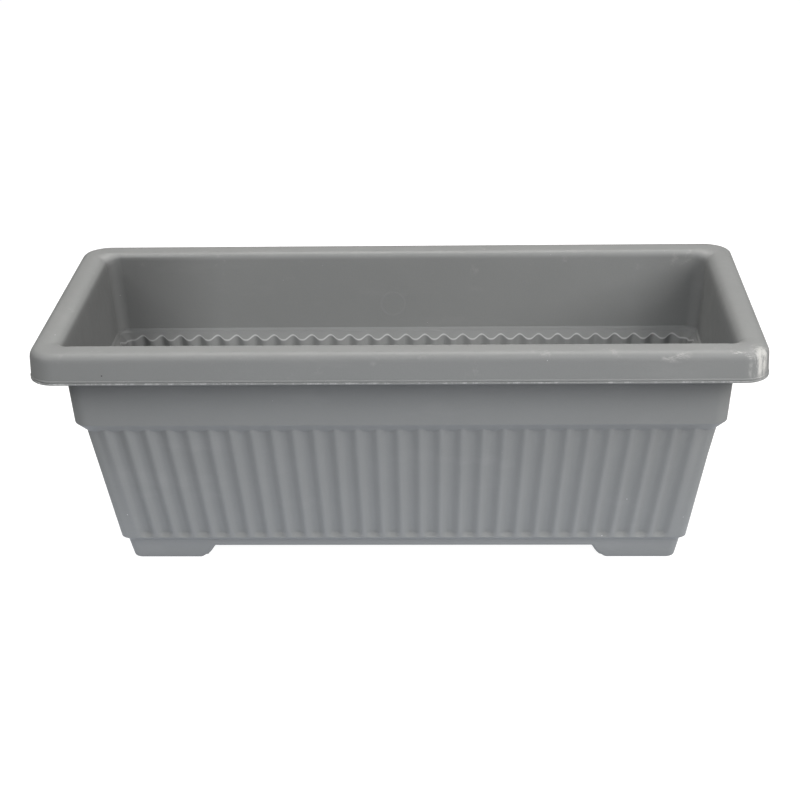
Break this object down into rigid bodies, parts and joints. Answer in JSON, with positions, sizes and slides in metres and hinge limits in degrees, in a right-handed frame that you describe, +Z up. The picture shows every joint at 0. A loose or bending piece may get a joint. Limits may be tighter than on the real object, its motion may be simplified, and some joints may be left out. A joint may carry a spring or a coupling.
{
  "type": "self watering planter",
  "caption": "Rectangular fluted planter trough with a rolled rim and feet, holding a lift-out reservoir platform with wicks, filler tube and water level gauge.",
  "frame": {"origin": "centre of the footprint, on the plane that the feet rest on", "axes": "+X along the planter's length, +Y from the front wall (the side of the filler and gauge) to the back wall, +Z up"},
  "size_m": [0.6, 0.275, 0.217],
  "materials": {
    "trough_grey": "fine matte moulded polypropylene",
    "insert_dark": "satin moulded polypropylene",
    "felt": "needled felt",
    "lid_blue": "satin moulded",
    "steel": "drawn stainless",
    "float_foam": "closed-cell foam",
    "rod_white": "smooth",
    "flag_red": "smooth",
    "clear": "clear moulded plastic",
    "seal": "matte"
  },
  "bodies": {
    "trough": {"trough": "trough_grey", "overflow_pipe": "insert_dark", "overflow_strainer": "insert_dark", "overflow_grommet": "seal"},
    "insert": {"reservoir_platform": "insert_dark", "support_posts": "insert_dark", "fill_tube": "insert_dark", "lid_hinge_pin": "steel", "tube_clip": "insert_dark", "float_cage": "insert_dark", "gauge_tube": "clear", "gauge_cap": "clear"},
    "fill_lid": {"fill_lid": "lid_blue"},
    "level_float": {"gauge_float": "float_foam", "float_rod": "rod_white", "level_flag": "flag_red"},
    "wick_left": {"wick_cup_left": "insert_dark", "felt_wick_left": "felt"},
    "wick_right": {"wick_cup_right": "insert_dark", "felt_wick_right": "felt"},
    "drain_plug": {"drain_plug": "lid_blue", "drain_seal_ring": "seal"}
  },
  "joints": [
    {"name": "insert_lift", "type": "slide", "parent": "trough", "child": "insert", "axis": [0, 0, 1], "range_m": [0, 0.21]},
    {"name": "fill_lid_hinge", "type": "hinge", "parent": "insert", "child": "fill_lid", "pos_m": [0.208, -0.0805, 0.178], "axis": [1, 0, 0], "range_deg": [0, 110]},
    {"name": "float_rise", "type": "slide", "parent": "insert", "child": "level_float", "axis": [0, 0, 1], "range_m": [0, 0.023]},
    {"name": "wick_left_lift", "type": "slide", "parent": "insert", "child": "wick_left", "axis": [0, 0, 1], "range_m": [0, 0.2]},
    {"name": "wick_right_lift", "type": "slide", "parent": "insert", "child": "wick_right", "axis": [0, 0, 1], "range_m": [0, 0.2]},
    {"name": "drain_plug_pull", "type": "slide", "parent": "trough", "child": "drain_plug", "axis": [0, 0, -1], "range_m": [0, 0.022]}
  ]
}
